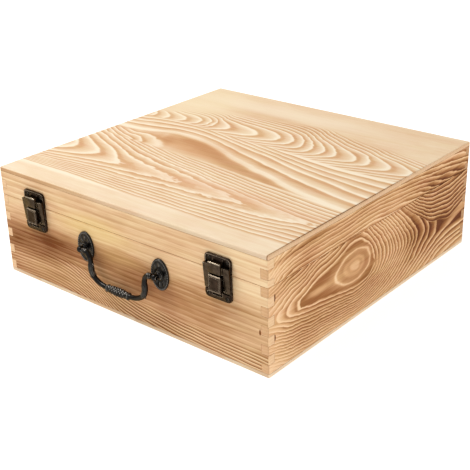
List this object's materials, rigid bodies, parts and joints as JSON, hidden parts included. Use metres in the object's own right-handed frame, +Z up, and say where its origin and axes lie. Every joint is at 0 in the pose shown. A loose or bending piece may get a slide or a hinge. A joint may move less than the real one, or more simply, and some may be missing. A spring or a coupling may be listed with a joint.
{
  "type": "wooden jewelry box",
  "caption": "Square pine keepsake box with finger-jointed corners, a back-hinged lid, draw latches and a swinging bail handle on the front.",
  "frame": {"origin": "middle of the wooden carcass's underside, on the surface that the box stands on", "axes": "+Z up, +X to the right along the front, +Y from the front towards the hinges at the back"},
  "size_m": [0.355, 0.3732, 0.1205],
  "materials": {
    "pine_light": "pale sanded pine with a thin satin lacquer",
    "pine_tan": "tan pine with a bold figure, thin satin lacquer",
    "bronze": "dark antique bronze, rubbed on the high edges",
    "steel": "plain zinc-plated steel"
  },
  "bodies": {
    "carcass": {"front_board": "pine_tan", "back_board": "pine_tan", "left_board": "pine_tan", "right_board": "pine_tan", "bottom_panel": "pine_light", "left_hinge_body_leaf": "bronze", "left_hinge_pin": "bronze", "left_hinge_body_screw_1": "bronze", "left_hinge_body_screw_2": "bronze", "right_hinge_body_leaf": "bronze", "right_hinge_pin": "bronze", "right_hinge_body_screw_1": "bronze", "right_hinge_body_screw_2": "bronze", "left_latch_base": "bronze", "left_latch_base_screw_1": "bronze", "left_latch_base_screw_2": "bronze", "left_latch_lever_pin": "bronze", "right_latch_base": "bronze", "right_latch_base_screw_1": "bronze", "right_latch_base_screw_2": "bronze", "right_latch_lever_pin": "bronze", "left_handle_rose": "bronze", "left_handle_post": "bronze", "left_handle_washer": "steel", "left_handle_nut": "steel", "right_handle_rose": "bronze", "right_handle_post": "bronze", "right_handle_washer": "steel", "right_handle_nut": "steel"},
    "lid": {"lid_front_rail": "pine_tan", "lid_back_rail": "pine_tan", "lid_left_rail": "pine_tan", "lid_right_rail": "pine_tan", "lid_top_panel": "pine_light", "left_hinge_lid_leaf": "bronze", "left_hinge_lid_screw_1": "bronze", "left_hinge_lid_screw_2": "bronze", "right_hinge_lid_leaf": "bronze", "right_hinge_lid_screw_1": "bronze", "right_hinge_lid_screw_2": "bronze", "left_latch_keeper": "bronze", "left_latch_keeper_screw_1": "bronze", "left_latch_keeper_screw_2": "bronze", "right_latch_keeper": "bronze", "right_latch_keeper_screw_1": "bronze", "right_latch_keeper_screw_2": "bronze"},
    "left_lever": {"left_latch_lever": "bronze", "left_latch_claw_pin": "bronze"},
    "left_claw": {"left_latch_claw": "bronze"},
    "right_lever": {"right_latch_lever": "bronze", "right_latch_claw_pin": "bronze"},
    "right_claw": {"right_latch_claw": "bronze"},
    "bail": {"handle_bail": "bronze"}
  },
  "joints": [
    {"name": "lid_hinge", "type": "hinge", "parent": "carcass", "child": "lid", "pos_m": [0, 0.1801, 0.08975], "axis": [-1, 0, 0], "range_deg": [0, 170]},
    {"name": "left_lever_turn", "type": "hinge", "parent": "carcass", "child": "left_lever", "pos_m": [-0.1233, -0.1819, 0.086], "axis": [-1, 0, 0], "range_deg": [0, 90]},
    {"name": "left_claw_turn", "type": "hinge", "parent": "left_lever", "child": "left_claw", "pos_m": [-0.1233, -0.1808, 0.0745], "axis": [1, 0, 0], "range_deg": [0, 90]},
    {"name": "right_lever_turn", "type": "hinge", "parent": "carcass", "child": "right_lever", "pos_m": [0.1233, -0.1819, 0.086], "axis": [-1, 0, 0], "range_deg": [0, 90]},
    {"name": "right_claw_turn", "type": "hinge", "parent": "right_lever", "child": "right_claw", "pos_m": [0.1233, -0.1808, 0.0745], "axis": [1, 0, 0], "range_deg": [0, 90]},
    {"name": "bail_swing", "type": "hinge", "parent": "carcass", "child": "bail", "pos_m": [0, -0.186, 0.0645], "axis": [-1, 0, 0], "range_deg": [-5, 180]}
  ],
  "couplings": [
    {"joint": "left_claw_turn", "follows": "left_lever_turn", "ratio": 1},
    {"joint": "right_claw_turn", "follows": "right_lever_turn", "ratio": 1}
  ]
}
